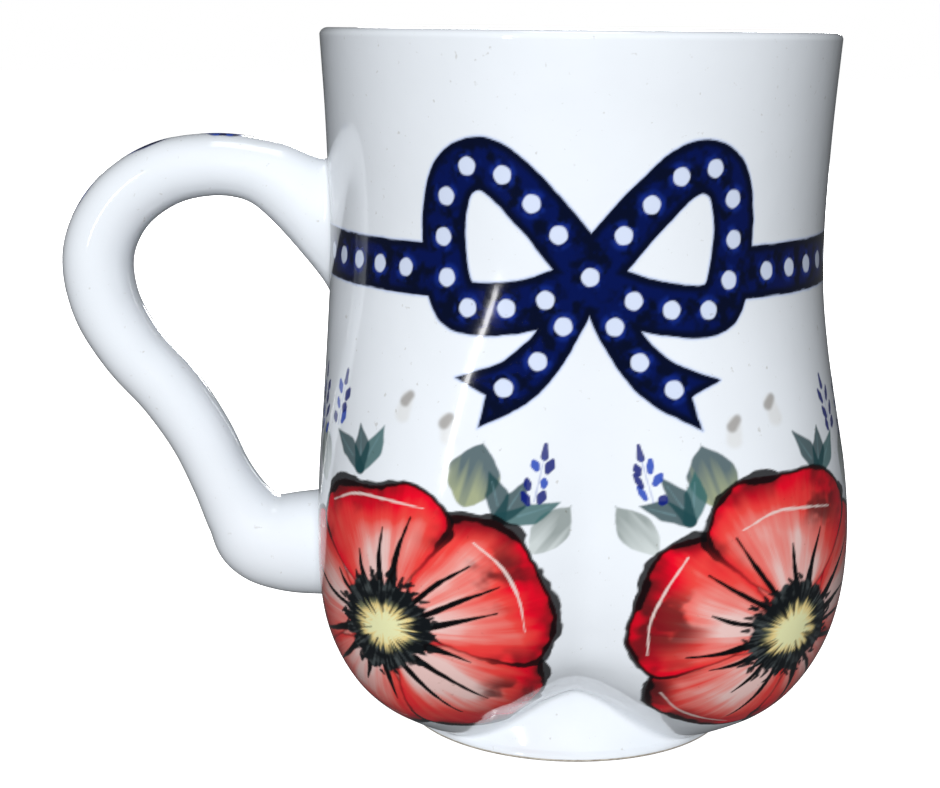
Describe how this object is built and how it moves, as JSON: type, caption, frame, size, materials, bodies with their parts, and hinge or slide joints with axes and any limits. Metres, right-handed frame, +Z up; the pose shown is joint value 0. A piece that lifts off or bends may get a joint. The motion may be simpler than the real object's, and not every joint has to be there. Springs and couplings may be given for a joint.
{
  "type": "mug",
  "caption": "Glazed stoneware mug with a straight round rim, a gentle waist, a lobed lower half on a round foot, and a cast ear handle.",
  "frame": {"origin": "on the cup's axis at the height of the table, within the shallow recess under the foot", "axes": "+Z up out of the mouth; the handle points to -X; the groove between the two front lobes faces -Y"},
  "size_m": [0.1232, 0.0814, 0.11],
  "materials": {
    "body_glaze": "clear gloss glaze over white stoneware",
    "handle_glaze": "clear gloss glaze over white stoneware",
    "slip": "clear gloss glaze over joining slip"
  },
  "bodies": {
    "root": {"cup_body": "body_glaze", "handle": "handle_glaze", "upper_slip_joint": "slip", "lower_slip_joint": "slip"}
  },
  "joints": []
}
